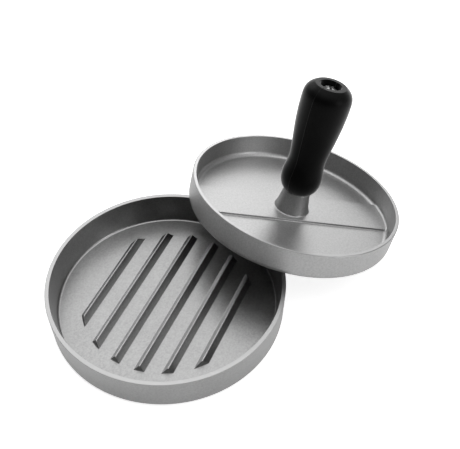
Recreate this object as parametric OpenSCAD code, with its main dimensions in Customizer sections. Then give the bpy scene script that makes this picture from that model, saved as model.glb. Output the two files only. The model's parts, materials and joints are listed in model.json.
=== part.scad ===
// Two-piece patty press: a ribbed round pan and a ribbed press with an upright grip.
// The pan stands flat. The press leans on the pan's rim with its edge on the table.
// Origin: centre of the pan's underside. +X runs the way the press leans, +Z is up.

/* [Pan] */
// Outside diameter of the pan at its rim
pan_d = 120; // [100:1:150]
// Height of the pan
pan_h = 20.4; // [16:0.1:30]
// Wall thickness at the rim
pan_rim_w = 2.1; // [1.5:0.1:3]
// Wall thickness at the foot of the wall
pan_foot_w = 4.1; // [3.2:0.1:6]
// How much narrower the pan's outside is at its foot, on the radius
pan_taper = 0.6; // [0.1:0.1:2]
// Thickness of the pan's floor
pan_floor = 4; // [2.5:0.1:5]
// Radius between the floor and the wall
pan_fillet = 1.2; // [0.5:0.1:2]
// Radius round the bottom's outside edge
pan_corner = 3.5; // [1:0.1:4]

/* [Ridges] */
// Number of ridges in the pan and under the press
ridge_count = 6; // [2:1:8]
// Distance from one ridge to the next
ridge_pitch = 13.1; // [9:0.05:14]
// Width of a ridge at its base
ridge_w = 5.2; // [4:0.1:7]
// Radius of a ridge's crest
ridge_crest = 0.55; // [0.3:0.05:1.2]
// Height of the ridges in the pan
pan_ridge_h = 3.1; // [2:0.1:4]
// Height of the ridges under the press
press_ridge_h = 2.4; // [2:0.1:4]
// Bare margin between the ridge ends and the pan's wall
ridge_margin = 12; // [6:0.1:20]
// How far a ridge's end slopes in from base to crest
ridge_end_slope = 0.8; // [0.2:0.1:2]
// Direction of the pan's ridges, from +X
ridge_turn = 22; // [-90:0.1:90]

/* [Press] */
// Gap all round between the press and the pan's rim when it is set in
press_gap = 1.3; // [0.8:0.1:3]
// Height of the press without its grip
press_h = 15.5; // [12:0.1:22]
// Wall thickness at the press's rim
press_rim_w = 1.9; // [1.5:0.1:3]
// Wall thickness at the foot of the press's wall
press_foot_w = 2.4; // [2.2:0.1:5]
// How much narrower the press's outside is at its foot, on the radius
press_taper = 0.4; // [0.1:0.1:1]
// Thickness of the press's plate beside the band
plate_t = 2.9; // [1.8:0.1:4]
// Radius between the plate and the wall
press_fillet = 2.8; // [0.8:0.1:3.5]
// Radius round the bottom's outside edge
press_corner = 3.2; // [1:0.1:4]
// Width of the raised band's flat top
band_w = 23; // [22:0.1:36]
// Height of the band over the plate
band_h = 1.1; // [0.6:0.1:2]
// Radius along the band's upper edges
band_round = 0.3; // [0.1:0.1:0.6]
// Radius along the band's foot
band_fillet = 0.6; // [0.3:0.1:2]
// Direction of the band, from the way the press leans
band_turn = -37.8; // [-90:0.1:90]
// Rounding of the edges of both rims
rim_edge = 0.2; // [0.1:0.05:0.7]

/* [Grip boss] */
// Radius of the boss at its foot
boss_foot_r = 9.3; // [8.5:0.1:9.9]
// Radius of the boss at its top
boss_top_r = 7.2; // [6.5:0.1:8.3]
// Height of the boss over the band
boss_h = 11.8; // [9:0.1:14]
// Radius round the boss's foot
boss_fillet = 0.8; // [0.4:0.1:1]

/* [Grip] */
// Length of the grip
grip_len = 62; // [50:0.5:90]
// Radius of the grip's bottom face
grip_foot_r = 6.9; // [6.2:0.1:8]
// Largest radius of the lower bulge
grip_low_r = 10.9; // [9.5:0.1:14]
// Height of the lower bulge
grip_low_at = 8.6; // [7:0.1:12]
// Radius of the waist
grip_waist_r = 9.7; // [8:0.1:12]
// Height of the waist
grip_waist_at = 19.5; // [16:0.5:28]
// Largest radius of the upper bulge
grip_top_r = 12.7; // [10:0.1:16]
// Height of the top's rounding
grip_crown_h = 9; // [6:0.5:14]
// Radius of the flat top
grip_face_r = 8.1; // [6.6:0.1:9]
// How late and how sharply the crown turns in to the top face
grip_crown_turn = 3.5; // [2:0.1:6]
// Radius of the screw recess
recess_r = 5.5; // [4.6:0.1:6]
// Depth of the screw recess
recess_deep = 5.3; // [4.5:0.1:10]

/* [Screw] */
// Thread diameter of the handle screw
screw_d = 4; // [3:0.5:5]
// Diameter of the screw's head
head_d = 8; // [7:0.1:8.6]
// Height of the screw's head
head_h = 3.1; // [2.6:0.1:3.4]
// Crown radius of the head
head_crown = 6.5; // [5.5:0.1:9]
// Length of thread held in the boss
thread_bite = 7.4; // [5:0.1:8]
// Thickness of the spring washer
washer_t = 0.9; // [0.6:0.1:1.2]
// Length of the cross recess
cross_l = 5.2; // [3:0.1:5.6]
// Width of the cross recess
cross_w = 1.3; // [0.8:0.05:1.4]
// Depth of the cross recess
cross_deep = 2; // [1:0.1:2.2]
// Direction of the cross recess, from the way the press leans
cross_turn = 45; // [-90:1:90]

/* [Resting place] */
// Distance from the press's centre back to the rim that it rests on
rest_reach = 20.8; // [10:0.1:30]
// Sideways shift of the press
rest_shift = -9.5; // [-20:0.5:20]
// Gap between the press's ridges and the rim that carries them
seat_gap = 0.2; // [0.1:0.05:0.5]

/* [Clearances] */
// Radial play of the screw in the grip
screw_play = 0.25; // [0.1:0.05:0.5]
// Radial play of the thread in the boss
thread_play = 0.03; // [0.01:0.01:0.1]
// Depth of the tapped hole past the screw's end
tap_spare = 2; // [0.5:0.1:2.5]

/* [Hidden] */
$fn = 96;
eps = 0.4; // overlap that joins two shapes of one casting
cut_past = 1; // how far a cut runs past a face
crest_bite = 0.98; // share of the crest's radius at which the flanks meet it

pan_r = pan_d / 2;
press_r = pan_r - pan_rim_w - press_gap;
plate_r = press_r - press_foot_w;
band_top = plate_t + band_h;
boss_top = band_top + boss_h;
boss_flare = 1.3; // how strongly the boss's side curves out to its foot
boss_steps = 12; // steps of the boss's outline
ridge_end_r = pan_r - pan_foot_w - ridge_margin;

screw_r = screw_d / 2;
grip_top = boss_top + grip_len;
washer_z = grip_top - recess_deep;
head_z = washer_z + washer_t;
head_r = head_d / 2;
screw_end = boss_top - thread_bite;
tap_end = screw_end - tap_spare;
washer_r = head_r - 0.2;
washer_split = washer_t; // width of the gap in the washer's ring

// Lean of the press: its bottom edge touches the table and its ridges meet the rim.
corner_x = corner_mid(press_r, press_h, press_taper, press_corner)[0];
ridge_drop = press_ridge_h + seat_gap;
lean_run = rest_reach + corner_x;
lean_drop = ridge_drop + press_corner;
lean = asin((pan_h - press_corner) / norm([lean_run, lean_drop])) + atan2(lean_drop, lean_run);
rest_z = corner_x * sin(lean) + press_corner * (1 - cos(lean));
rest_x = pan_r + rest_reach * cos(lean) + ridge_drop * sin(lean);

// Places the press and all that is fixed to it in its leaning rest pose
module at_rest() {
    translate([rest_x, rest_shift, rest_z]) rotate([0, lean, 0]) children();
}

// Centre of the rounding between a flat bottom and an outside that tapers in to it
function corner_mid(r, h, taper, corner) =
    let (side = atan2(taper, h))
    [r - taper + corner * tan(side) - corner / cos(side), corner];

// Fills the corner between a floor on the left and a wall that leans right by slope
module corner_fill(fillet, slope) {
    mid = [fillet * tan(slope) - fillet / cos(slope), fillet];
    wall_end = mid + fillet * [cos(slope), -sin(slope)];
    difference() {
        polygon([[mid[0], -eps], [eps, -eps], wall_end + [eps, 0], wall_end, [mid[0], 0]]);
        translate(mid) circle(fillet);
    }
}

// Half section of a dish: tapered outside, round outer corner and rim edges, sloped inner wall
module dish_section(r, h, floor_t, rim_w, foot_w, taper, fillet, corner, edge) {
    foot = r - foot_w;
    side = atan2(taper, h);
    mid = corner_mid(r, h, taper, corner);
    difference() {
        polygon([[0, 0], [r - taper, 0], [r, h], [r - rim_w, h], [foot, floor_t], [0, floor_t]]);
        difference() {
            translate([mid[0], -cut_past])
                square([corner + cut_past, corner * (1 - sin(side)) + cut_past]);
            translate(mid) circle(corner);
        }
        difference() {
            translate([r - edge, h - edge]) square(edge + cut_past);
            translate([r - edge, h - edge]) circle(edge);
        }
        difference() {
            translate([r - rim_w - cut_past, h - edge]) square(edge + cut_past);
            translate([r - rim_w + edge, h - edge]) circle(edge);
        }
    }
    translate([foot, floor_t]) corner_fill(fillet, atan2(foot_w - rim_w, h - floor_t));
}

// Cross-section of one ridge: straight flanks that run into a round crest
module ridge_section(h) {
    crest_z = h - ridge_crest;
    reach = norm([ridge_w / 2, crest_z]);
    touch = ridge_crest * crest_bite;
    flank = atan2(crest_z, -ridge_w / 2) - asin(touch / reach);
    flank_l = sqrt(reach * reach - touch * touch);
    tip = [ridge_w / 2 + flank_l * cos(flank), flank_l * sin(flank)];
    polygon([
        [-ridge_w / 2, 0], [-ridge_w / 2, -eps], [ridge_w / 2, -eps], [ridge_w / 2, 0],
        tip, [-tip[0], tip[1]]
    ]);
    translate([0, crest_z]) circle(ridge_crest);
}

// Parallel ridges that rise from z = 0 and end on a cone parallel to the wall
module ridges(h) {
    intersection() {
        for (i = [0 : ridge_count - 1]) {
            offset_y = (i - (ridge_count - 1) / 2) * ridge_pitch;
            if (abs(offset_y) + ridge_w < ridge_end_r) {
                translate([-ridge_end_r, offset_y, 0]) rotate([90, 0, 90])
                    linear_extrude(2 * ridge_end_r) ridge_section(h);
            }
        }
        rotate_extrude() polygon([
            [0, -eps], [ridge_end_r, -eps], [ridge_end_r, 0],
            [ridge_end_r - ridge_end_slope, h + eps], [0, h + eps]
        ]);
    }
}

module pan() {
    color([0.72, 0.72, 0.73]) {
        rotate_extrude() dish_section(
            pan_r, pan_h, pan_floor, pan_rim_w, pan_foot_w, pan_taper, pan_fillet, pan_corner, rim_edge
        );
        translate([0, 0, pan_floor]) rotate([0, 0, ridge_turn]) ridges(pan_ridge_h);
    }
}

// Cross-section of the band: flat top and upright sides with a rounded edge and a hollow foot
module band_section() {
    flat = band_w / 2;
    for (way = [0, 1]) mirror([way, 0]) {
        difference() {
            translate([-cut_past, -eps]) square([flat + band_round + cut_past, band_h + eps]);
            difference() {
                translate([flat, band_h - band_round]) square(band_round + cut_past);
                translate([flat, band_h - band_round]) circle(band_round);
            }
        }
        translate([flat + band_round, 0]) mirror([1, 0]) corner_fill(band_fillet, 0);
    }
}

// Raised band across the plate, as far as the wall
module band() {
    intersection() {
        translate([-plate_r - eps, 0, plate_t]) rotate([90, 0, 90])
            linear_extrude(2 * (plate_r + eps)) band_section();
        cylinder(h = band_top, r = plate_r + eps);
    }
}

// Boss that flares out towards its foot and runs into the band there
module boss() {
    spread = boss_foot_r - boss_top_r;
    rotate_extrude() {
        polygon(concat(
            [[0, plate_t - eps], [boss_foot_r, plate_t - eps]],
            [for (i = [0 : boss_steps]) let (t = i / boss_steps)
                [boss_top_r + spread * pow(1 - t, boss_flare), band_top + boss_h * t]],
            [[0, boss_top]]
        ));
        translate([boss_foot_r, band_top]) mirror([1, 0])
            corner_fill(boss_fillet, atan2(boss_flare * spread, boss_h));
    }
}

module press_plate() {
    color([0.75, 0.75, 0.76]) at_rest() difference() {
        union() {
            rotate_extrude() dish_section(
                press_r, press_h, plate_t, press_rim_w, press_foot_w,
                press_taper, press_fillet, press_corner, rim_edge
            );
            rotate([0, 0, band_turn]) {
                band();
                mirror([0, 0, 1]) ridges(press_ridge_h);
            }
            boss();
        }
        translate([0, 0, tap_end])
            cylinder(h = boss_top - tap_end + cut_past, r = screw_r + thread_play);
    }
}

// Smooth rise from 0 to 1
function ease(t) = (1 - cos(180 * t)) / 2;

// Radius of the grip at a height over its bottom face
function grip_radius(z) =
    let (top_at = grip_len - grip_crown_h)
    z < grip_low_at
        ? grip_foot_r + (grip_low_r - grip_foot_r) * pow(1 - pow(1 - z / grip_low_at, 2), 0.65)
    : z < grip_waist_at
        ? grip_low_r + (grip_waist_r - grip_low_r) * ease((z - grip_low_at) / (grip_waist_at - grip_low_at))
    : z < top_at
        ? grip_waist_r + (grip_top_r - grip_waist_r)
            * ease(pow((z - grip_waist_at) / (top_at - grip_waist_at), 0.75))
    : grip_face_r + (grip_top_r - grip_face_r) * (1 - pow((z - top_at) / grip_crown_h, grip_crown_turn));

// Heights at which the grip's outline is taken, closer together at both round ends
function grip_heights() = concat(
    [for (i = [0 : 7]) grip_low_at * (1 - cos(90 * i / 8))],
    [for (i = [0 : 25]) grip_low_at + (grip_len - grip_crown_h - grip_low_at) * i / 26],
    [for (i = [0 : 10]) grip_len - grip_crown_h * (1 - sin(90 * i / 10))]
);

module grip() {
    color([0.05, 0.05, 0.05]) at_rest() translate([0, 0, boss_top]) {
        difference() {
            rotate_extrude() polygon(concat(
                [[0, 0]], [for (z = grip_heights()) [grip_radius(z), z]], [[0, grip_len]]
            ));
            translate([0, 0, -cut_past]) cylinder(h = grip_len + 2 * cut_past, r = screw_r + screw_play);
            translate([0, 0, grip_len - recess_deep])
                cylinder(h = recess_deep + cut_past, r = recess_r);
        }
    }
}

module handle_screw() {
    color([0.6, 0.6, 0.62]) at_rest() {
        translate([0, 0, screw_end]) cylinder(h = head_z - screw_end + eps, r = screw_r);
        translate([0, 0, head_z]) difference() {
            rotate_extrude() intersection() {
                square([head_r, head_h]);
                translate([0, head_h - head_crown]) circle(head_crown);
            }
            for (turn = [0, 90]) rotate([0, 0, cross_turn + turn])
                translate([-cross_l / 2, -cross_w / 2, head_h - cross_deep])
                    cube([cross_l, cross_w, cross_deep + cut_past]);
        }
    }
}

module spring_washer() {
    color([0.5, 0.5, 0.52]) at_rest() translate([0, 0, washer_z]) difference() {
        cylinder(h = washer_t, r = washer_r);
        translate([0, 0, -cut_past]) cylinder(h = washer_t + 2 * cut_past, r = screw_r + screw_play);
        translate([0, -washer_split / 2, -cut_past])
            cube([washer_r + cut_past, washer_split, washer_t + 2 * cut_past]);
    }
}

pan();
press_plate();
grip();
handle_screw();
spring_washer();
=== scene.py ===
"""Looks of a two-piece patty press: a ribbed pan, and a press with a grip that leans on its rim.

Everything is in metres in the part's own frame. Sizes are given in millimetres and scaled by MM.
The castings and the grip are modelled again as finely rounded meshes, in the places that the frame
gives, and ride on its bodies. The screw and its washer are the frame's own solids.
"""

import json
import math

import bmesh
import bpy
import numpy as np
from mathutils import Matrix, Vector, geometry


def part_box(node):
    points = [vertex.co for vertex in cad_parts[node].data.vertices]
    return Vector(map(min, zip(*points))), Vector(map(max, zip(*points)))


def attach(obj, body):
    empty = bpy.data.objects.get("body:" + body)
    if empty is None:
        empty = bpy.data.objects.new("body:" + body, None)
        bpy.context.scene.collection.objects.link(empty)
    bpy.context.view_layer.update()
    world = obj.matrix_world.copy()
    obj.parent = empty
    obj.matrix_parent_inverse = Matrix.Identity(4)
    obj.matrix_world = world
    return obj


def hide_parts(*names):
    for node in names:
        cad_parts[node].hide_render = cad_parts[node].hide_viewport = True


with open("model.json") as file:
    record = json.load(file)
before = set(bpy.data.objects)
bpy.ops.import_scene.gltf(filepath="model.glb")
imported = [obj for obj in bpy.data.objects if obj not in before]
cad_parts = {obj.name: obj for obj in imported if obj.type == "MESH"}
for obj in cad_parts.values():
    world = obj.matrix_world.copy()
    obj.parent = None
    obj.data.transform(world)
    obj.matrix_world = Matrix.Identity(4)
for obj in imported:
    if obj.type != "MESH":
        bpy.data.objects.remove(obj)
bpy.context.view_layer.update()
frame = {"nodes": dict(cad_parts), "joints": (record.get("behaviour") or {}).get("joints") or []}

MM = 0.001

# ---------------------------------------------------------------- sizes in millimetres

# Pan
PAN_H = 20.4  # rim over the table
PAN_RIM_W = 2.1  # wall at the rim
PAN_FOOT_W = 4.1  # wall at the floor
PAN_TAPER = 0.6  # how far the outside draws in towards the table
PAN_FLOOR = 4.0  # thickness
PAN_FILLET = 1.2  # between floor and wall
PAN_CORNER = 3.5  # round under the wall

# Ridges in the pan and under the press
RIDGE_COUNT = 6
RIDGE_PITCH = 13.1
RIDGE_W = 5.2
RIDGE_CREST = 0.55  # radius of the crest
PAN_RIDGE_H = 3.1
PRESS_RIDGE_H = 2.4
RIDGE_FOOT = 0.5  # radius of the fillet at the foot
RIDGE_BLEND = 0.25  # round between a ridge's flank and its end
RIDGE_MARGIN = 12.0  # from the pan's wall to the circle in which the ridges end
RIDGE_END_RUN = 0.8  # length of a ridge's sloping end
RIDGE_TURN = 22.0  # degrees

# Press plate
PRESS_H = 15.5  # rim over the underside
PRESS_RIM_W = 1.9
PRESS_FOOT_W = 2.4
PRESS_TAPER = 0.4
PRESS_FILLET = 2.8
PRESS_CORNER = 3.2
PLATE_T = 2.9
BAND_W = 23.0
BAND_H = 1.1
BAND_ROUND = 0.3  # along the band's upper edges
BAND_FOOT = 0.6  # fillet along the foot of its sides
BAND_LEAN = 0.03  # how far its sides lean out
BAND_WALL_FILLET = 1.6  # where its ends meet the wall
BAND_TURN = -37.8  # degrees
BAND_TOP = PLATE_T + BAND_H

# Rims of both castings
RIM_EDGE = 0.2
PRESS_RIM_ROUND = 0.45  # outer edge of the press's rim
RIM_TURNED = 1.05  # how far below its top a rim is machined, as a share of its outer round

# Boss
BOSS_FOOT_R = 9.3
BOSS_TOP_R = 7.2
BOSS_H = 11.8
BOSS_FILLET = 0.8
BOSS_FLARE = 1.3  # power of the flare: 1 is a cone
BOSS_LEVELS = (0.15, 0.3, 0.45, 0.6, 0.75, 0.9)  # where the flare is taken, as shares of the height
BOSS_EDGE = 0.3
TAP_EDGE = 0.15
TAP_R = 2.03
TAP_DEEP = 9.4
BOSS_TOP = BAND_TOP + BOSS_H

# Grip
GRIP_LEN = 62.0
GRIP_FOOT_R = 6.9
GRIP_LOW_R = 10.9
GRIP_LOW_AT = 8.6
GRIP_WAIST_R = 9.7
GRIP_WAIST_AT = 19.5
GRIP_TOP_R = 12.7
GRIP_CROWN_H = 9.0
GRIP_FACE_R = 8.1
GRIP_FOOT_POWER = 0.65  # fullness of the round foot
GRIP_RISE_POWER = 0.75  # how soon the grip widens above its waist
GRIP_CROWN_POWER = 3.5  # fullness of the crown
RECESS_R = 5.5
RECESS_DEEP = 5.3
RECESS_EDGE = 0.35
RECESS_FOOT = 0.3
BORE_R = 2.25
SEAM_H = 0.14  # line of the mould down both sides
SEAM_W = 0.22
SEAM_TURN = 184.5  # degrees
FLASH_H = 0.4  # the same line inside the recess
FLASH_W = 0.5

# Edges of the screw and the washer
SCREW_EDGE = 0.1
WASHER_EDGE = 0.08

# Fineness of the meshes
ARC_STEP = math.radians(9)
SHARP = math.radians(40)
ROUND_STEPS = 288
BOSS_STEPS = 96
GRIP_STEPS = 120
GRIP_FOOT_STEPS, GRIP_SIDE_STEPS, GRIP_CROWN_STEPS = 14, 56, 18
CREST_STEPS, FLANK_STEPS, FOOT_STEPS = 5, 9, 6
BAND_ROUND_STEPS, BAND_FOOT_STEPS = 6, 8
RIDGE_END_STEP, RIDGE_END_STEPS = 0.1, 14
RIDGE_INNER_RUNS = (0.25, 0.6, 1.6, 5.0)
SEAM_STEPS = (0.4, 0.8, 1.2, 1.8, 3, 4.5, 7, 10)  # degrees to each side of a seam
SEAM_SPARE = 1.5  # degrees
PLATE_SPARE = 1.2  # how far before the wall the flat plate ends, as a share of the wall's fillet
CROSSING_SPARE = 0.6  # how far even angles keep from the band's sides, as a share of their step
RING_SPARE = 1.5  # how far before the boss the band's flat top ends, as a share of the boss's fillet
RING_INSIDE = 0.999  # share of the ring's radius outside which faces belong to the flat top
WELD = 0.002  # points closer than this are joined
SLIVER = 0.0005  # edges shorter than this are dissolved
FLAT_TOLERANCE = 1e-7


# ---------------------------------------------------------------- outlines

def rounded(corners):
    """Points of an open outline whose corners (x, z, radius) are rounded by true arcs."""
    points = [np.array(corners[0][:2], float)]
    for before, here, after in zip(corners, corners[1:], corners[2:]):
        b, radius = np.array(here[:2], float), here[2]
        u = np.array(before[:2], float) - b
        v = np.array(after[:2], float) - b
        u, v = u / np.linalg.norm(u), v / np.linalg.norm(v)
        if radius <= 0:
            points.append(b)
            continue
        half = math.acos(np.clip(u @ v, -1, 1)) / 2
        centre = b + (u + v) / np.linalg.norm(u + v) * radius / math.sin(half)
        start, end = b + u * radius / math.tan(half), b + v * radius / math.tan(half)
        points.extend(arc(centre, start, end))
    points.append(np.array(corners[-1][:2], float))
    return points


def arc(centre, start, end, steps=None):
    """Points of the shorter arc from start to end round centre."""
    a, b = start - centre, end - centre
    turn = math.atan2(a[0] * b[1] - a[1] * b[0], a @ b)
    steps = steps or max(3, math.ceil(abs(turn) / ARC_STEP))
    made = []
    for i in range(steps + 1):
        t = turn * i / steps
        c, s = math.cos(t), math.sin(t)
        made.append(centre + np.array([a[0] * c - a[1] * s, a[0] * s + a[1] * c]))
    return made


def ease(t):
    """Smooth rise from 0 to 1."""
    return (1 - math.cos(math.pi * t)) / 2


def stretch(start, end, steps):
    """Evenly spaced values after start, up to and with end."""
    return [start + (end - start) * i / steps for i in range(1, steps + 1)]


def even_angles(count=ROUND_STEPS):
    """Angles spaced evenly all round."""
    return [2 * math.pi * i / count for i in range(count)]


def angles_with(extra, count, around, spare):
    """The extra angles among even ones, in order, with no even one within spare of those in around."""
    def clear(a):
        return all(abs(math.remainder(a - c, 2 * math.pi)) > spare for c in around)

    return sorted({a % (2 * math.pi) for a in extra} | {a for a in even_angles(count) if clear(a)})


def circle_loop(radius, angles):
    """The (x, y) of a circle at some angles."""
    return [(radius * math.cos(a), radius * math.sin(a)) for a in angles]


# ---------------------------------------------------------------- surfaces

class Skin:
    """Collects the points and faces of one closed surface, in millimetres."""

    def __init__(self):
        self.points = []
        self.faces = []

    def grid(self, rows, closed=False):
        """Quads between rows of points; closed joins each row's end to its start."""
        start, width = len(self.points), len(rows[0])
        for row in rows:
            self.points.extend(tuple(p) for p in row)
        last = width if closed else width - 1
        for i in range(len(rows) - 1):
            for j in range(last):
                a, b = start + i * width + j, start + i * width + (j + 1) % width
                self.faces.append((a, b, b + width, a + width))

    def lathe(self, outline, angles):
        """The outline turned round the z axis, as a grid. A point on the axis closes as a fan."""
        rows = [[(r * math.cos(a), r * math.sin(a), z) for a in angles] for r, z in outline]
        self.grid(rows, closed=True)

    def flat(self, loops, z, keep, lines=()):
        """Flat faces at height z between closed loops and lines of (x, y), where keep(x, y) is true."""
        points, edges = [], []
        for loop in [*loops, *lines]:
            start = len(points)
            points.extend(Vector(p) for p in loop)
            edges.extend((start + i, start + (i + 1) % len(loop)) for i in range(len(loop)))
        made = geometry.delaunay_2d_cdt(points, edges, [], 0, FLAT_TOLERANCE)
        start = len(self.points)
        self.points.extend((p.x, p.y, z) for p in made[0])
        for face in made[2]:
            middle = sum((made[0][i] for i in face), Vector((0, 0))) / len(face)
            if keep(middle.x, middle.y):
                self.faces.append(tuple(start + i for i in face))

    def build(self, name, place, turned=None):
        """One welded object in metres, placed by a matrix.

        Faces outside the radius and above the height in turned take the second material.
        """
        mesh = bpy.data.meshes.new(name)
        mesh.from_pydata([Vector(p) * MM for p in self.points], [], self.faces)
        work = bmesh.new()
        work.from_mesh(mesh)
        bmesh.ops.remove_doubles(work, verts=work.verts, dist=WELD * MM)
        bmesh.ops.dissolve_degenerate(work, edges=work.edges, dist=SLIVER * MM)
        bmesh.ops.recalc_face_normals(work, faces=work.faces)
        for edge in work.edges:
            if not edge.is_manifold:
                raise RuntimeError(f"{name}: the surface is open near {edge.verts[0].co / MM}")
            edge.smooth = edge.calc_face_angle() < SHARP
        for face in work.faces:
            face.smooth = True
            if turned and beyond(face, *turned):
                face.material_index = 1
        work.to_mesh(mesh)
        work.free()
        mesh.transform(place)
        obj = bpy.data.objects.new(name, mesh)
        bpy.context.scene.collection.objects.link(obj)
        shade_flats(obj)
        return obj


def beyond(face, radius, height):
    """Whether all of a face is outside a radius and above a height, both in millimetres."""
    return all(v.co.xy.length > radius * MM and v.co.z > height * MM for v in face.verts)


def shade_flats(obj):
    """Lets large flat faces shade as flat beside the small round ones at their edges."""
    shade = obj.modifiers.new("flat_shading", "WEIGHTED_NORMAL")
    shade.keep_sharp = True


# ---------------------------------------------------------------- ridges

def fillet_rise(run, slope, radius):
    """Height over a flat of a face that rises at slope from run 0, with a round foot."""
    reach = radius * math.tan(slope / 2)
    straight = run * math.tan(slope)
    inside = np.clip(radius ** 2 - (run + reach) ** 2, 0, None)
    foot = radius - np.sqrt(inside)
    return np.where(run > reach * math.cos(slope), straight, np.where(run < -reach, 0, foot))


def soft_min(a, b, blend):
    """The lower of two heights, rounded where they meet."""
    near = np.clip(blend - np.abs(a - b), 0, None)
    return np.minimum(a, b) - near ** 2 / (4 * blend)


def flank_slope(high):
    """Slope of the flank of a ridge, which touches the round crest."""
    crest_z = high - RIDGE_CREST
    reach = math.hypot(RIDGE_W / 2, crest_z)
    return math.atan2(crest_z, RIDGE_W / 2) + math.asin(RIDGE_CREST / reach)


def end_slope(high):
    """Slope of a ridge's end."""
    return math.atan2(high, RIDGE_END_RUN)


def foot_reach(slope):
    """How far the round foot of a slope reaches out over the floor."""
    return RIDGE_FOOT * math.tan(slope / 2)


def ridge_middles():
    """Distances of the ridges' middle lines from the centre."""
    return [(i - (RIDGE_COUNT - 1) / 2) * RIDGE_PITCH for i in range(RIDGE_COUNT)]


def ridge_height(s, t, high, middle, end_r):
    """Height of a ridge at s along it and t across it, where its middle line is off the centre."""
    slope = flank_slope(high)
    crest = high - RIDGE_CREST + np.sqrt(np.clip(RIDGE_CREST ** 2 - t ** 2, 0, None))
    flank = fillet_rise(RIDGE_W / 2 - np.abs(t), slope, RIDGE_FOOT)
    across = np.where(np.abs(t) < RIDGE_CREST * math.sin(slope), crest, flank)
    run = end_r - np.hypot(s, middle + t)
    along = fillet_rise(run, end_slope(high), RIDGE_FOOT)
    return np.clip(soft_min(across, along, RIDGE_BLEND) * (along > 0), 0, None)


def ridge_across(high):
    """Sample places across a ridge, close together on its crest and at its foot."""
    slope = flank_slope(high)
    crest_end = RIDGE_CREST * math.sin(slope)
    flank_end = RIDGE_W / 2 - foot_reach(slope) * math.cos(slope)
    half = stretch(0, crest_end, CREST_STEPS)
    half += stretch(crest_end, flank_end, FLANK_STEPS)
    half += stretch(flank_end, RIDGE_W / 2 + foot_reach(slope), FOOT_STEPS)
    return [-v for v in reversed(half)] + [0] + half


def ridge_along(high):
    """Distances inside the end circle at which a ridge's end is sampled."""
    near = [-foot_reach(end_slope(high)) + RIDGE_END_STEP * i for i in range(RIDGE_END_STEPS)]
    return near + [near[-1] + run for run in RIDGE_INNER_RUNS]


def ridges(skin, floor_z, rise, end_r, turn):
    """Adds ridges that rise up, or down if rise is below 0, and returns their outlines' (x, y)."""
    high = abs(rise)
    c, s = math.cos(turn), math.sin(turn)
    loops = []
    for middle in ridge_middles():
        rows = []
        for t in ridge_across(high):
            ends = [math.sqrt((end_r - e) ** 2 - (middle + t) ** 2) for e in ridge_along(high)]
            places = np.array([-v for v in ends] + [v for v in reversed(ends)])
            lift = ridge_height(places, np.full(len(places), t), high, middle, end_r)
            z = floor_z + math.copysign(1, rise) * lift
            rows.append([
                (p * c - (middle + t) * s, p * s + (middle + t) * c, h) for p, h in zip(places, z)
            ])
        skin.grid(rows)
        ring = rows[0] + [r[-1] for r in rows[1:-1]] + rows[-1][::-1] + [r[0] for r in rows[-2:0:-1]]
        loops.append([(x, y) for x, y, _ in ring])
    return loops


def ribbed_floor(skin, floor_z, rise, end_r, turn, rim_r, angles):
    """A flat round floor out to rim_r with ridges that stand on it."""
    loops = ridges(skin, floor_z, rise, end_r, turn)
    half = RIDGE_W / 2 + foot_reach(flank_slope(abs(rise)))
    end = end_r + foot_reach(end_slope(abs(rise)))

    def bare(x, y):
        s = x * math.cos(turn) + y * math.sin(turn)
        t = y * math.cos(turn) - x * math.sin(turn)
        if math.hypot(s, t) > end:
            return math.hypot(s, t) < rim_r
        return all(abs(t - middle) > half for middle in ridge_middles())

    skin.flat([circle_loop(rim_r, angles)] + loops, floor_z, bare)


# ---------------------------------------------------------------- the pan

def make_pan():
    """The pan's casting, and the radius of the circle in which its ridges end."""
    lo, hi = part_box("pan")
    r = (hi.x - lo.x) / 2 / MM
    foot = r - PAN_FOOT_W
    outline = rounded([
        (0, PAN_FLOOR, 0),
        (foot, PAN_FLOOR, PAN_FILLET),
        (r - PAN_RIM_W, PAN_H, RIM_EDGE),
        (r, PAN_H, RIM_EDGE),
        (r - PAN_TAPER, 0, PAN_CORNER),
        (0, 0, 0),
    ])[1:]
    angles = even_angles()
    skin = Skin()
    skin.lathe(outline, angles)
    end_r = foot - RIDGE_MARGIN
    ribbed_floor(skin, PAN_FLOOR, PAN_RIDGE_H, end_r, math.radians(RIDGE_TURN), outline[0][0], angles)
    turned = (foot, PAN_H - RIM_TURNED * RIM_EDGE)
    piece = skin.build("pan_casting", Matrix.Identity(4), turned)
    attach(piece, "pan")
    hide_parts("pan")
    return piece, end_r


# ---------------------------------------------------------------- the press

def press_place():
    """The leaning press's own frame, with its origin under its middle, and its radius in mm."""
    up = Vector(frame["joints"][0]["axis"]).normalized()
    turn = Matrix((Vector((up.z, 0, -up.x)), Vector((0, 1, 0)), up)).transposed()
    packed = np.array([v.co for v in frame["nodes"]["press_plate"].data.vertices]) @ np.array(turn)
    lo, hi = packed.min(0), packed.max(0)
    middle = turn @ Vector(((lo[0] + hi[0]) / 2, (lo[1] + hi[1]) / 2, lo[2] + PRESS_RIDGE_H * MM))
    return Matrix.Translation(middle) @ turn.to_4x4(), (hi[0] - lo[0]) / 2 / MM


def band_side():
    """Points (distance out from the band's flat top, height over the plate) down its side."""
    bend = BAND_H - BAND_ROUND
    wall = BAND_ROUND + BAND_LEAN
    foot = wall + BAND_FOOT
    upper = arc(np.array([0, bend]), np.array([0, BAND_H]), np.array([BAND_ROUND, bend]), BAND_ROUND_STEPS)
    lower = arc(
        np.array([foot, BAND_FOOT]), np.array([wall, BAND_FOOT]), np.array([foot, 0]), BAND_FOOT_STEPS
    )
    return upper + lower


def band_share(t):
    """1 on the band's top, 0 beside it, with its side's curve between; t is across the band."""
    side = band_side()
    out = np.abs(t) - BAND_W / 2
    return float(np.interp(out, [p[0] for p in side], [p[1] / BAND_H for p in side]))


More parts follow.
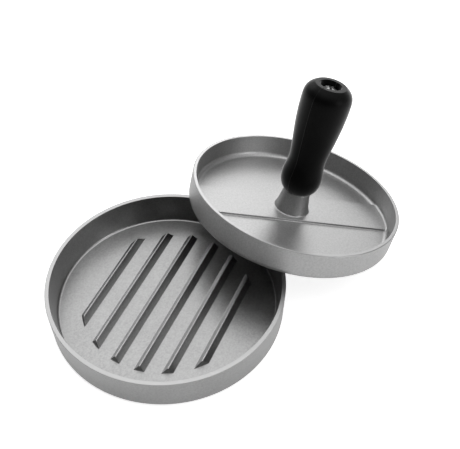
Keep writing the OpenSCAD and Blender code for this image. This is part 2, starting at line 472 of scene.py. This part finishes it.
def boss_outline(ring_r):
    """The boss from the band up its flared side, over its top and down the tapped hole."""
    spread = BOSS_FOOT_R - BOSS_TOP_R
    side = [
        (BOSS_TOP_R + spread * (1 - level) ** BOSS_FLARE, BAND_TOP + BOSS_H * level, 0)
        for level in BOSS_LEVELS
    ]
    return rounded([
        (ring_r, BAND_TOP, 0),
        (BOSS_FOOT_R, BAND_TOP, BOSS_FILLET),
        *side,
        (BOSS_TOP_R, BOSS_TOP, BOSS_EDGE),
        (TAP_R, BOSS_TOP, TAP_EDGE),
        (TAP_R, BOSS_TOP - TAP_DEEP, 0),
        (0, BOSS_TOP - TAP_DEEP, 0),
    ])


def press_outlines(r):
    """The casting from its flat plate up its wall and down to its underside, beside and on the band."""
    foot = r - PRESS_FOOT_W
    slope = (PRESS_FOOT_W - PRESS_RIM_W) / (PRESS_H - PLATE_T)
    inner = foot - PLATE_SPARE * PRESS_FILLET
    rim = [
        (r - PRESS_RIM_W, PRESS_H, RIM_EDGE),
        (r, PRESS_H, PRESS_RIM_ROUND),
        (r - PRESS_TAPER, 0, PRESS_CORNER),
        (0, 0, 0),
    ]
    wall_foot = (foot + slope * BAND_H, BAND_TOP, BAND_WALL_FILLET)
    beside = rounded([(inner, PLATE_T, 0), (foot, PLATE_T, PRESS_FILLET), *rim])[:-1]
    on_band = rounded([(inner, BAND_TOP, 0), wall_foot, *rim])[:-1]
    return beside, on_band


def press_angles(inner):
    """Angles round the press that meet the band's sides where these cross the flat plate's edge."""
    crossings = [math.asin((BAND_W / 2 + out) / inner) for out, _ in band_side()]
    crossings += [math.pi - a for a in crossings]
    crossings += [-a for a in crossings]
    return angles_with(crossings, ROUND_STEPS, crossings, CROSSING_SPARE * 2 * math.pi / ROUND_STEPS)


def press_shell(skin, beside, on_band, angles):
    """The wall and the underside, with the inside of the wall raised where the band meets it."""
    rows = []
    for (r0, z0), (r1, z1) in zip(beside, on_band):
        row = []
        for a in angles:
            share = band_share(r0 * math.sin(a))
            here = r0 + (r1 - r0) * share
            row.append((here * math.cos(a), here * math.sin(a), z0 + (z1 - z0) * share))
        rows.append(row)
    skin.grid(rows, closed=True)


def chord(inner, t):
    """Both ends of a line across the flat plate, at t from its middle."""
    end = math.sqrt(inner ** 2 - t ** 2)
    return [(-end, t), (end, t)]


def band_and_plate(skin, inner, angles):
    """The band's sides and top, the flat plate beside it, and the boss."""
    side = band_side()
    for way in (-1, 1):
        strip = []
        for out, h in side:
            strip.append([(x, t, PLATE_T + h) for x, t in chord(inner, way * (BAND_W / 2 + out))])
        skin.grid(strip)
    ring_r = BOSS_FOOT_R + RING_SPARE * BOSS_FILLET
    boss_angles = even_angles(BOSS_STEPS)
    outer = circle_loop(inner, angles)
    top_t, foot_t = BAND_W / 2, BAND_W / 2 + side[-1][0]
    skin.flat(
        [outer, circle_loop(ring_r, boss_angles)], BAND_TOP,
        lambda x, y: abs(y) < top_t and math.hypot(x, y) > ring_r * RING_INSIDE,
        [chord(inner, top_t), chord(inner, -top_t)],
    )
    skin.flat(
        [outer], PLATE_T,
        lambda x, y: abs(y) > foot_t,
        [chord(inner, foot_t), chord(inner, -foot_t)],
    )
    skin.lathe(boss_outline(ring_r), boss_angles)


def make_press(place, r, end_r):
    """The press's casting, made with its band along x and then turned."""
    beside, on_band = press_outlines(r)
    inner = beside[0][0]
    angles = press_angles(inner)
    skin = Skin()
    press_shell(skin, beside, on_band, angles)
    band_and_plate(skin, inner, angles)
    ribbed_floor(skin, 0, -PRESS_RIDGE_H, end_r, 0, beside[-1][0], angles)
    turned = (r - PRESS_FOOT_W, PRESS_H - RIM_TURNED * PRESS_RIM_ROUND)
    piece = skin.build("press_casting", place @ Matrix.Rotation(math.radians(BAND_TURN), 4, "Z"), turned)
    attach(piece, "press")
    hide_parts("press_plate")
    return piece


# ---------------------------------------------------------------- the grip, screw and washer

def grip_radius(z):
    """Radius of the grip at a height over its bottom face."""
    crown_at = GRIP_LEN - GRIP_CROWN_H
    if z < GRIP_LOW_AT:
        full = (1 - (1 - z / GRIP_LOW_AT) ** 2) ** GRIP_FOOT_POWER
        return GRIP_FOOT_R + (GRIP_LOW_R - GRIP_FOOT_R) * full
    if z < GRIP_WAIST_AT:
        t = (z - GRIP_LOW_AT) / (GRIP_WAIST_AT - GRIP_LOW_AT)
        return GRIP_LOW_R + (GRIP_WAIST_R - GRIP_LOW_R) * ease(t)
    if z < crown_at:
        t = (z - GRIP_WAIST_AT) / (crown_at - GRIP_WAIST_AT)
        return GRIP_WAIST_R + (GRIP_TOP_R - GRIP_WAIST_R) * ease(t ** GRIP_RISE_POWER)
    rise = (z - crown_at) / GRIP_CROWN_H
    return GRIP_FACE_R + (GRIP_TOP_R - GRIP_FACE_R) * (1 - rise ** GRIP_CROWN_POWER)


def grip_heights():
    """Heights at which the grip's outline is taken, closer together at both round ends."""
    crown_at = GRIP_LEN - GRIP_CROWN_H
    side_h = crown_at - GRIP_LOW_AT
    quarter = math.pi / 2
    low = [GRIP_LOW_AT * (1 - math.cos(quarter * i / GRIP_FOOT_STEPS)) for i in range(1, GRIP_FOOT_STEPS)]
    side = [GRIP_LOW_AT + side_h * i / GRIP_SIDE_STEPS for i in range(GRIP_SIDE_STEPS)]
    crown = [
        crown_at + GRIP_CROWN_H * math.sin(quarter * i / GRIP_CROWN_STEPS)
        for i in range(GRIP_CROWN_STEPS + 1)
    ]
    return low + side + crown


def grip_outlines():
    """The grip from its foot up to its face, and from the face down the recess and the bore."""
    recess_floor = GRIP_LEN - RECESS_DEEP
    outside = [(grip_radius(z), z) for z in grip_heights()]
    inside = rounded([
        outside[-1] + (0,),
        (RECESS_R, GRIP_LEN, RECESS_EDGE),
        (RECESS_R, recess_floor, RECESS_FOOT),
        (BORE_R, recess_floor, 0),
        (BORE_R, 0, 0),
        (GRIP_FOOT_R, 0, 0),
    ])
    return outside[:-1], inside


def seam_row(r, z, height, width, seams, angles):
    """Points round the grip at one level, raised by height along both seams."""
    row = []
    for a in angles:
        off = min(abs(math.remainder(a - s, 2 * math.pi)) for s in seams) * r
        lift = height * math.exp(-((off / width) ** 2))
        row.append(((r + lift) * math.cos(a), (r + lift) * math.sin(a), z))
    return row


def make_grip(place):
    """The grip, with the fine line that its two-part mould leaves down both sides and in the recess."""
    outside, inside = grip_outlines()
    seams = [math.radians(SEAM_TURN), math.radians(SEAM_TURN) + math.pi]
    offs = [-d for d in reversed(SEAM_STEPS)] + [0, *SEAM_STEPS]
    near = [seam + math.radians(d) for seam in seams for d in offs]
    angles = angles_with(near, GRIP_STEPS, seams, math.radians(SEAM_STEPS[-1] + SEAM_SPARE))
    rows = [seam_row(r, z, SEAM_H, SEAM_W, seams, angles) for r, z in outside]
    for r, z in inside:
        in_recess = z > GRIP_LEN - RECESS_DEEP and r < (RECESS_R + GRIP_FACE_R) / 2
        rows.append(seam_row(r, z, -FLASH_H if in_recess else 0, FLASH_W, seams, angles))
    rows.append(rows[0])
    skin = Skin()
    skin.grid(rows, closed=True)
    piece = skin.build("grip_moulding", place @ Matrix.Translation((0, 0, BOSS_TOP * MM)))
    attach(piece, "press")
    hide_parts("grip")
    return piece


def soften(node, width):
    """Breaks the sharp edges of a CAD node that is shown as it is."""
    obj = frame["nodes"][node]
    edge = obj.modifiers.new("broken_edges", "BEVEL")
    edge.width = width * MM
    edge.segments = 2
    edge.limit_method = "ANGLE"
    edge.angle_limit = SHARP
    shade_flats(obj)
    return obj


# ---------------------------------------------------------------- materials

# Grey levels and roughness
PAN_TONE, PAN_ROUGH = 0.335, 0.33
PRESS_TONE, PRESS_ROUGH = 0.415, 0.44
RIM_TONE, RIM_ROUGH = 0.43, 0.40
STEEL_TONE, SCREW_ROUGH, WASHER_ROUGH = 0.45, 0.35, 0.40
GRIP_DARK, GRIP_LIGHT, GRIP_ROUGH = 0.0015, 0.0025, 0.39

CAST_SWING = 0.16  # how far a casting's tone runs to each side, as a share
CAST_CLOUDS = 0.25  # share of the wide clouds in that, the rest is the fine mottle


class Paint:
    """One node material: a Principled shader with helpers to drive its sockets."""

    def __init__(self, name):
        self.material = bpy.data.materials.new(name)
        self.material.use_nodes = True
        self.tree = self.material.node_tree
        self.shader = self.tree.nodes["Principled BSDF"]
        self.coordinates = self.node("ShaderNodeTexCoord").outputs["Object"]

    def node(self, kind, **settings):
        """A new node with some of its properties set."""
        made = self.tree.nodes.new(kind)
        for key, value in settings.items():
            setattr(made, key, value)
        return made

    def link(self, out, into):
        """Joins an output to an input."""
        self.tree.links.new(out, into)

    def set(self, **values):
        """Sets sockets of the shader, with _ for a space in their names."""
        for key, value in values.items():
            self.shader.inputs[key.replace("_", " ")].default_value = value

    def drive(self, socket, out):
        """Lets an output set a socket of the shader."""
        self.link(out, self.shader.inputs[socket])

    def noise(self, size_mm, detail=3.0):
        """A noise whose features are about size_mm across."""
        made = self.node("ShaderNodeTexNoise")
        made.inputs["Scale"].default_value = 1 / (size_mm * MM)
        made.inputs["Detail"].default_value = detail
        self.link(self.coordinates, made.inputs["Vector"])
        return made.outputs["Fac"]

    def spread(self, value, low, high):
        """Maps a noise, whose middle part runs from 0.3 to 0.7, onto the range low to high."""
        made = self.node("ShaderNodeMapRange")
        made.inputs["From Min"].default_value = 0.3
        made.inputs["From Max"].default_value = 0.7
        made.inputs["To Min"].default_value = low
        made.inputs["To Max"].default_value = high
        self.link(value, made.inputs["Value"])
        return made.outputs["Result"]

    def swing(self, value, middle, half):
        """Maps a noise onto a range of half to each side of middle."""
        return self.spread(value, middle - half, middle + half)

    def grey(self, value, dark, light):
        """A grey between dark and light."""
        made = self.node("ShaderNodeMix", data_type="RGBA")
        made.inputs["A"].default_value = (dark, dark, dark, 1)
        made.inputs["B"].default_value = (light, light, light, 1)
        self.link(value, made.inputs["Factor"])
        return made.outputs["Result"]

    def add(self, a, b):
        """The sum of two outputs."""
        made = self.node("ShaderNodeMath", operation="ADD")
        self.link(a, made.inputs[0])
        self.link(b, made.inputs[1])
        return made.outputs["Value"]

    def bump(self, height, depth_mm, below=None):
        """A bump of about depth_mm, on top of another bump if one is given."""
        made = self.node("ShaderNodeBump")
        made.inputs["Distance"].default_value = depth_mm * MM
        made.inputs["Strength"].default_value = 1.0
        self.link(height, made.inputs["Height"])
        if below is not None:
            self.link(below, made.inputs["Normal"])
        return made.outputs["Normal"]


def cast_aluminium(name, tone, rough):
    """Bead-blasted cast aluminium: a fine even grain, with faint clouds in tone and gloss."""
    paint = Paint(name)
    paint.set(Metallic=1.0)
    clouds = paint.noise(size_mm=16.0, detail=4.0)
    mottle = paint.noise(size_mm=0.9)
    shade = paint.add(paint.spread(clouds, 0, CAST_CLOUDS), paint.spread(mottle, 0, 1 - CAST_CLOUDS))
    paint.drive("Base Color", paint.grey(shade, (1 - CAST_SWING) * tone, (1 + CAST_SWING) * tone))
    gloss = paint.add(paint.swing(clouds, rough, 0.02), paint.swing(mottle, 0, 0.03))
    paint.drive("Roughness", gloss)
    waves = paint.bump(paint.noise(size_mm=9.0, detail=2.0), depth_mm=0.02)
    paint.drive("Normal", paint.bump(paint.noise(size_mm=0.5, detail=2.0), depth_mm=0.014, below=waves))
    return paint.material


def turned_aluminium(name, tone, rough):
    """The rims' bare machined faces, plainer and finer in grain than the castings."""
    paint = Paint(name)
    paint.set(Metallic=1.0)
    paint.drive("Base Color", paint.grey(paint.spread(paint.noise(size_mm=7.0), 0, 1), 0.97 * tone, tone))
    paint.drive("Roughness", paint.swing(paint.noise(size_mm=0.8), rough, 0.04))
    paint.drive("Normal", paint.bump(paint.noise(size_mm=0.6, detail=2.0), depth_mm=0.002))
    return paint.material


def moulded_black(name, dark, light, rough):
    """Black moulded plastic, dull in front, with a soft sheen at its edges and a very fine grain."""
    paint = Paint(name)
    paint.set(Metallic=0.0, Specular_IOR_Level=0.06, Sheen_Weight=1.0, Sheen_Roughness=0.31)
    paint.drive("Base Color", paint.grey(paint.spread(paint.noise(size_mm=6.0), 0, 1), dark, light))
    paint.drive("Roughness", paint.swing(paint.noise(size_mm=2.5), rough, 0.03))
    paint.drive("Normal", paint.bump(paint.noise(size_mm=0.35, detail=2.0), depth_mm=0.008))
    return paint.material


def steel(name, tone, rough):
    """Plated steel, slightly uneven in tone and gloss."""
    paint = Paint(name)
    paint.set(Metallic=1.0)
    clouds = paint.noise(size_mm=1.2)
    paint.drive("Base Color", paint.grey(paint.spread(clouds, 0, 1), 0.9 * tone, tone))
    paint.drive("Roughness", paint.swing(clouds, rough, 0.06))
    paint.drive("Normal", paint.bump(paint.noise(size_mm=0.2, detail=2.0), depth_mm=0.004))
    return paint.material


def dress(obj, *materials):
    """Gives an object its materials, the first in place of any that it came with."""
    for i, material in enumerate(materials):
        if i < len(obj.data.materials):
            obj.data.materials[i] = material
        else:
            obj.data.materials.append(material)


# ---------------------------------------------------------------- stage

# The camera, fitted to the outlines of the rims in the photograph: degrees and millimetres
VIEW_AZIMUTH = 44.15
VIEW_ELEVATION = 47.867
VIEW_AIM = (61.8, 17.7, 0.0)
VIEW_DISTANCE = 445.0
VIEW_LENS = 61.53
VIEW_SENSOR = 36.0
VIEW_NEAR, VIEW_FAR = 10.0, 20000.0

# The table: metres, and levels of light where 1 is white
FLOOR_SIZE = 6.0
FLOOR_DROP = 0.00005
FLOOR_TONE = 0.9
FLOOR_GLOW = 0.3  # for the camera and for reflections
FLOOR_WHITE = 0.45  # more, for the camera alone

# Soft lights in the room: azimuth from the view's, elevation, sharpness, strength.
# Their strengths began as a solver's match to the photograph's tones, except the third and the last,
# and were then rounded and mostly changed.
ROOM_LIGHTS = [
    (-30, 32, 30.0, 3.7),  # behind the object, to its left
    (10, 12, 30.0, 3.9),  # low behind it
    (30, 32, 30.0, 0.8),  # behind it, to its right
    (0, 45, 30.0, 0.8),  # behind it, higher
    (0, 68, 20.0, 1.2),  # behind it, near the top of the room
    (0, 90, 8.0, 1.7),  # overhead
    (90, 52, 10.0, 1.2),  # to its right
    (123, 16, 50.0, 5.5),  # low on its right, towards the camera
]


def toward(azimuth, elevation):
    """Unit direction: azimuth 0 is along +Y, and turns towards +X."""
    a, e = math.radians(azimuth), math.radians(elevation)
    return Vector((math.sin(a) * math.cos(e), math.cos(a) * math.cos(e), math.sin(e)))


def make_camera():
    """The camera, at the photograph's angle and distance."""
    camera = bpy.data.cameras.new("camera")
    camera.lens = VIEW_LENS
    camera.sensor_width = VIEW_SENSOR
    camera.clip_start, camera.clip_end = VIEW_NEAR * MM, VIEW_FAR * MM
    obj = bpy.data.objects.new("camera", camera)
    obj.location = (Vector(VIEW_AIM) - VIEW_DISTANCE * toward(VIEW_AZIMUTH, -VIEW_ELEVATION)) * MM
    obj.rotation_euler = (math.radians(90 - VIEW_ELEVATION), 0, math.radians(-VIEW_AZIMUTH))
    bpy.context.scene.collection.objects.link(obj)
    bpy.context.scene.camera = obj


def math_node(tree, operation, a, b):
    """A maths node between two values, each a number or another node's output."""
    made = tree.nodes.new("ShaderNodeMath")
    made.operation = operation
    for socket, value in zip(made.inputs, (a, b)):
        if isinstance(value, (int, float)):
            socket.default_value = value
        else:
            tree.links.new(value, socket)
    return made.outputs["Value"]


def table_white():
    """A pale surface that takes shadows, with a glow that the camera sees, and reflections in part."""
    material = bpy.data.materials.new("table_white")
    material.use_nodes = True
    tree = material.node_tree
    tree.nodes.clear()
    plain = tree.nodes.new("ShaderNodeBsdfDiffuse")
    plain.inputs["Color"].default_value = (FLOOR_TONE, FLOOR_TONE, FLOOR_TONE, 1)
    glow = tree.nodes.new("ShaderNodeEmission")
    rays = tree.nodes.new("ShaderNodeLightPath").outputs
    seen = math_node(tree, "MAXIMUM", rays["Is Camera Ray"], rays["Is Glossy Ray"])
    seen = math_node(tree, "MAXIMUM", seen, rays["Is Transmission Ray"])
    white = math_node(tree, "MULTIPLY", rays["Is Camera Ray"], FLOOR_WHITE)
    strength = math_node(tree, "ADD", math_node(tree, "MULTIPLY", seen, FLOOR_GLOW), white)
    tree.links.new(strength, glow.inputs["Strength"])
    both = tree.nodes.new("ShaderNodeAddShader")
    out = tree.nodes.new("ShaderNodeOutputMaterial")
    tree.links.new(plain.outputs[0], both.inputs[0])
    tree.links.new(glow.outputs[0], both.inputs[1])
    tree.links.new(both.outputs[0], out.inputs["Surface"])
    return material


def make_floor():
    """A plain table that keeps the object's soft shadow."""
    half = FLOOR_SIZE / 2
    corners = [(-half, -half, 0), (half, -half, 0), (half, half, 0), (-half, half, 0)]
    mesh = bpy.data.meshes.new("table_top")
    mesh.from_pydata(corners, [], [(0, 1, 2, 3)])
    obj = bpy.data.objects.new("table_top", mesh)
    bpy.context.scene.collection.objects.link(obj)
    obj.location.z = -FLOOR_DROP
    dress(obj, table_white())


def soft_light(tree, ray, azimuth, elevation, sharpness, strength):
    """The level of one soft light along a ray, brightest in its middle and narrower when sharper."""
    dot = tree.nodes.new("ShaderNodeVectorMath")
    dot.operation = "DOT_PRODUCT"
    tree.links.new(ray, dot.inputs[0])
    dot.inputs[1].default_value = toward(VIEW_AZIMUTH + azimuth, elevation)
    facing = math_node(tree, "MAXIMUM", dot.outputs["Value"], 0.0)
    return math_node(tree, "MULTIPLY", math_node(tree, "POWER", facing, sharpness), strength)


def make_room():
    """A white backdrop that only the camera sees, and the soft lights that the object sees."""
    world = bpy.data.worlds.new("room")
    bpy.context.scene.world = world
    world.use_nodes = True
    tree = world.node_tree
    tree.nodes.clear()
    ray = tree.nodes.new("ShaderNodeTexCoord").outputs["Generated"]
    total, *others = [soft_light(tree, ray, *light) for light in ROOM_LIGHTS]
    for level in others:
        total = math_node(tree, "ADD", total, level)
    lit = tree.nodes.new("ShaderNodeBackground")
    tree.links.new(total, lit.inputs["Color"])
    white = tree.nodes.new("ShaderNodeBackground")
    white.inputs["Color"].default_value = (1, 1, 1, 1)
    pick = tree.nodes.new("ShaderNodeMixShader")
    out = tree.nodes.new("ShaderNodeOutputWorld")
    tree.links.new(tree.nodes.new("ShaderNodeLightPath").outputs["Is Camera Ray"], pick.inputs[0])
    tree.links.new(lit.outputs[0], pick.inputs[1])
    tree.links.new(white.outputs[0], pick.inputs[2])
    tree.links.new(pick.outputs[0], out.inputs["Surface"])


# ---------------------------------------------------------------- the whole

pan, ridge_end_r = make_pan()
place, press_r = press_place()
press = make_press(place, press_r, ridge_end_r)
grip = make_grip(place)
screw = soften("handle_screw", SCREW_EDGE)
washer = soften("spring_washer", WASHER_EDGE)

turned = turned_aluminium("turned_rims", RIM_TONE, RIM_ROUGH)
dress(pan, cast_aluminium("cast_pan", PAN_TONE, PAN_ROUGH), turned)
dress(press, cast_aluminium("cast_press", PRESS_TONE, PRESS_ROUGH), turned)
dress(grip, moulded_black("moulded_black", GRIP_DARK, GRIP_LIGHT, GRIP_ROUGH))
dress(screw, steel("plated_steel", STEEL_TONE, SCREW_ROUGH))
dress(washer, steel("spring_steel", STEEL_TONE, WASHER_ROUGH))

make_camera()
make_floor()
make_room()

bpy.context.scene.view_settings.view_transform = "Standard"
